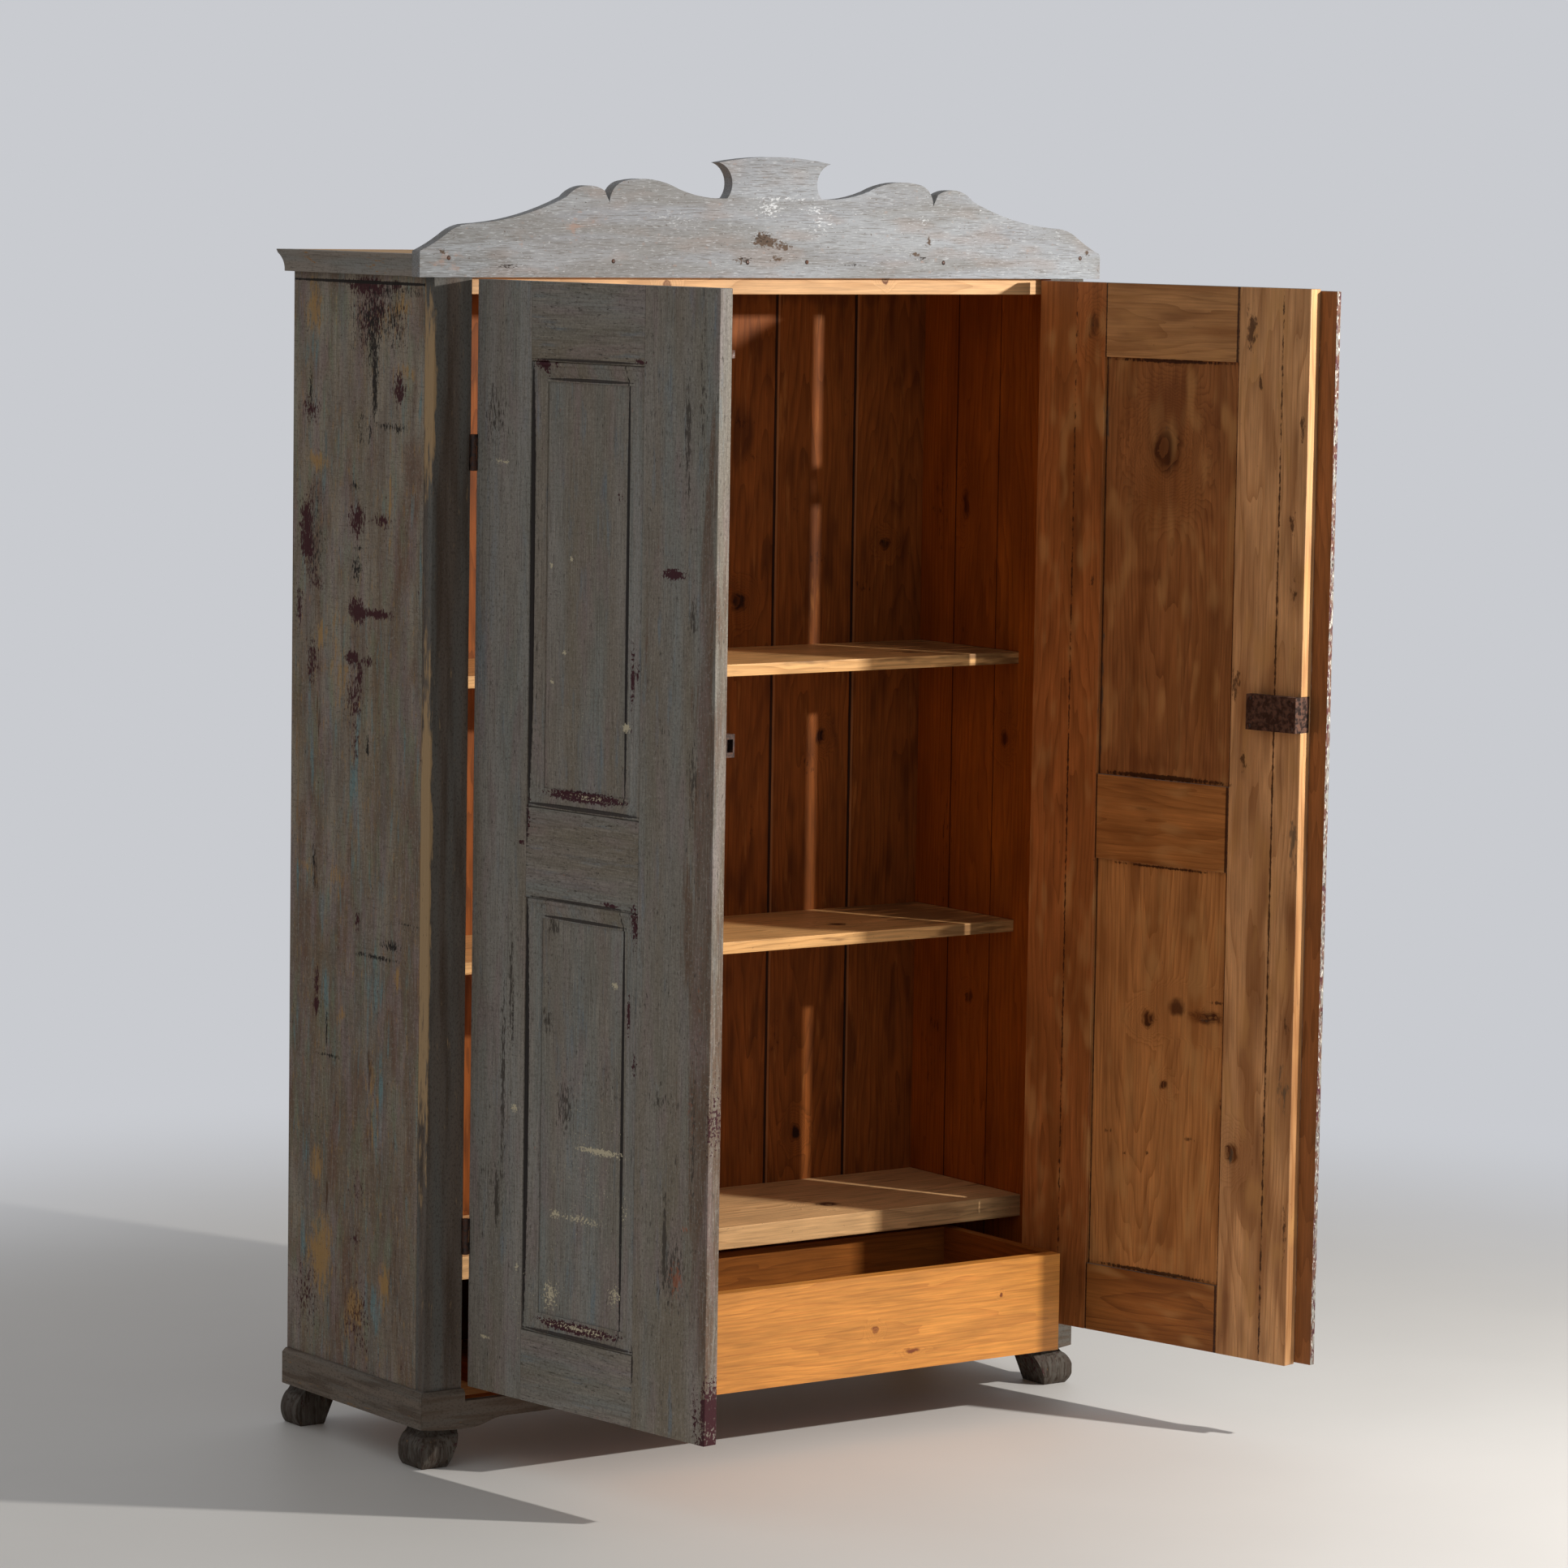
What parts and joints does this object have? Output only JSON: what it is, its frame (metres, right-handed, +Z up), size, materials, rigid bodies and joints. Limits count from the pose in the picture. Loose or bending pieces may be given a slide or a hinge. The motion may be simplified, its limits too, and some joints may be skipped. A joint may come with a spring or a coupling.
{
  "type": "wardrobe",
  "caption": "Painted pine wardrobe with a scrolled crest board, two framed and panelled doors, shelves, and a dovetailed drawer behind the doors, on ogee feet.",
  "frame": {"origin": "middle of the base of the bounding box, on the floor, with both doors and the drawer open as at rest", "axes": "+X to the wardrobe's right as one faces it, +Y towards its back, +Z up; the doors open towards -Y"},
  "size_m": [1.3234, 0.9866, 1.9999],
  "materials": {
    "grey_blue_paint": "worn milk paint over pine, matt",
    "pale_grey_paint": "worn pale milk paint over pine, matt",
    "honey_pine": "old oiled pine, satin",
    "forged_iron": "dark, worn"
  },
  "bodies": {
    "carcase": {"left_side": "grey_blue_paint", "right_side": "grey_blue_paint", "left_stile": "grey_blue_paint", "right_stile": "grey_blue_paint", "top_rail": "honey_pine", "bottom_rail": "grey_blue_paint", "top_board": "honey_pine", "bottom_board": "honey_pine", "drawer_cover_board": "honey_pine", "upper_shelf": "honey_pine", "lower_shelf": "honey_pine", "back_board_1": "honey_pine", "back_board_2": "honey_pine", "back_board_3": "honey_pine", "back_board_4": "honey_pine", "back_board_5": "honey_pine", "back_board_6": "honey_pine", "plinth_front": "grey_blue_paint", "plinth_left": "grey_blue_paint", "plinth_right": "grey_blue_paint", "cornice_left": "pale_grey_paint", "cornice_right": "pale_grey_paint", "crest_board": "pale_grey_paint", "left_front_foot": "grey_blue_paint", "right_front_foot": "grey_blue_paint", "left_back_foot": "honey_pine", "right_back_foot": "honey_pine", "drawer_guides": "honey_pine", "frame_hinge_leaves": "forged_iron", "hinge_pins": "forged_iron"},
    "left_door": {"left_door_hinge_stile": "grey_blue_paint", "left_door_lock_stile": "grey_blue_paint", "left_door_top_rail": "grey_blue_paint", "left_door_mid_rail": "grey_blue_paint", "left_door_bottom_rail": "grey_blue_paint", "left_door_upper_panel": "grey_blue_paint", "left_door_lower_panel": "grey_blue_paint", "left_door_mouldings": "grey_blue_paint", "left_door_hinge_leaves": "forged_iron", "left_lock_keeper": "forged_iron", "top_bolt_plate": "forged_iron"},
    "right_door": {"right_door_hinge_stile": "grey_blue_paint", "right_door_lock_stile": "grey_blue_paint", "right_door_top_rail": "grey_blue_paint", "right_door_mid_rail": "grey_blue_paint", "right_door_bottom_rail": "grey_blue_paint", "right_door_upper_panel": "grey_blue_paint", "right_door_lower_panel": "grey_blue_paint", "right_door_mouldings": "grey_blue_paint", "right_door_hinge_leaves": "forged_iron", "right_door_cover_strip": "grey_blue_paint", "right_lock_case": "forged_iron"},
    "drawer": {"drawer_front": "honey_pine", "drawer_left_side": "honey_pine", "drawer_right_side": "honey_pine", "drawer_back": "honey_pine", "drawer_bottom": "honey_pine"},
    "lock_bolt": {"lock_bolt": "forged_iron"},
    "top_bolt": {"top_bolt": "forged_iron"}
  },
  "joints": [
    {"name": "right_door_swing", "type": "hinge", "parent": "carcase", "child": "right_door", "pos_m": [0.53505, 0.0723, 0.95], "axis": [0, 0, 1], "range_deg": [-102, 30]},
    {"name": "left_door_swing", "type": "hinge", "parent": "carcase", "child": "left_door", "pos_m": [-0.56445, 0.0723, 0.95], "axis": [0, 0, -1], "range_deg": [-83.05, 24.45]},
    {"name": "drawer_slide", "type": "slide", "parent": "carcase", "child": "drawer", "axis": [0, -1, 0], "range_m": [-0.2571, 0.0757]},
    {"name": "lock_bolt_slide", "type": "slide", "parent": "right_door", "child": "lock_bolt", "axis": [0.2079, -0.9781, 0], "range_m": [0, 0.016]},
    {"name": "top_bolt_slide", "type": "slide", "parent": "left_door", "child": "top_bolt", "axis": [0, 0, 1], "range_m": [0, 0.018]}
  ],
  "couplings": [
    {"joint": "left_door_swing", "follows": "right_door_swing", "ratio": 0.81373},
    {"joint": "drawer_slide", "follows": "right_door_swing", "m_per_rad": 0.14436}
  ]
}
